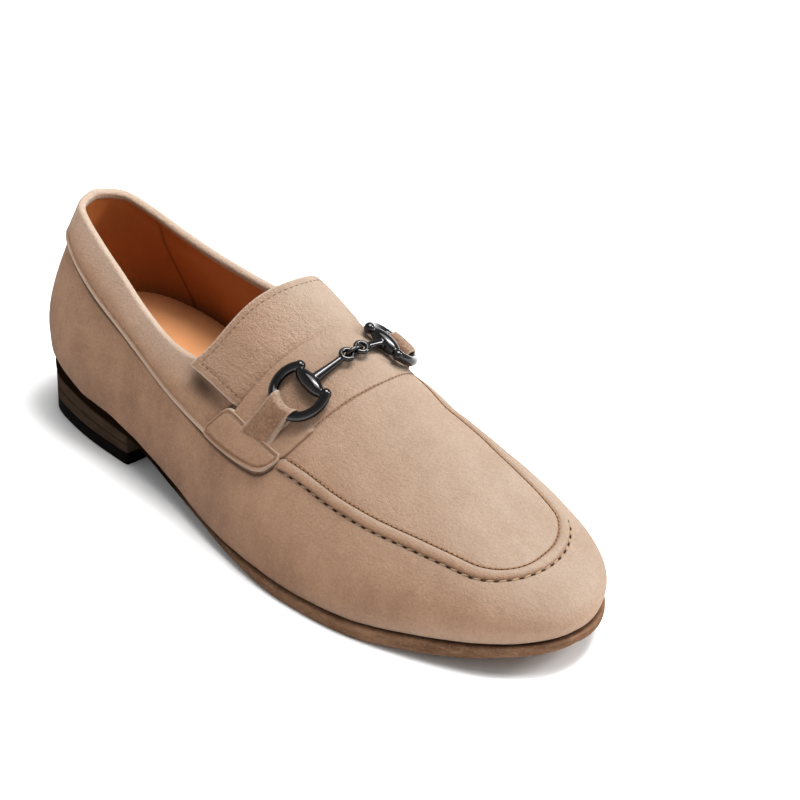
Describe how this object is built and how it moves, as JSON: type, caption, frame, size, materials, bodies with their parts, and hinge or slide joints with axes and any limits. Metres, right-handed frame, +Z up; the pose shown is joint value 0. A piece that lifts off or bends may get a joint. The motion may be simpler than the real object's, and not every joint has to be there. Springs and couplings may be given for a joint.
{
  "type": "bit loafer shoe",
  "caption": "Right suede loafer with an apron toe, wide tongue, saddle strap with a metal snaffle bit, leather sole and low stacked heel; stands empty on its sole.",
  "frame": {"origin": "on the floor under the middle of the shoe's bounding box", "axes": "+X from heel to toe, +Y to the inner (medial) side of the right foot, +Z up"},
  "size_m": [0.3022, 0.102, 0.0965],
  "materials": {
    "sand_suede": "sand suede with a soft nap",
    "tan_leather": "smooth saddle tan lining leather",
    "sole_leather": "brown edge-dressed sole leather",
    "black_rubber": "black moulded rubber",
    "gunmetal": "polished gunmetal plating"
  },
  "bodies": {
    "root": {"outsole": "sole_leather", "heel_lift_1": "sole_leather", "heel_lift_2": "sole_leather", "heel_top_lift": "black_rubber", "insole": "tan_leather", "upper": "sand_suede", "collar_band": "sand_suede", "tongue": "sand_suede", "saddle_strap": "sand_suede", "tab_lateral": "sand_suede", "tab_medial": "sand_suede", "loop_lateral": "sand_suede", "loop_medial": "sand_suede", "bit_lateral": "gunmetal", "bit_medial": "gunmetal", "bit_link": "gunmetal"}
  },
  "joints": []
}
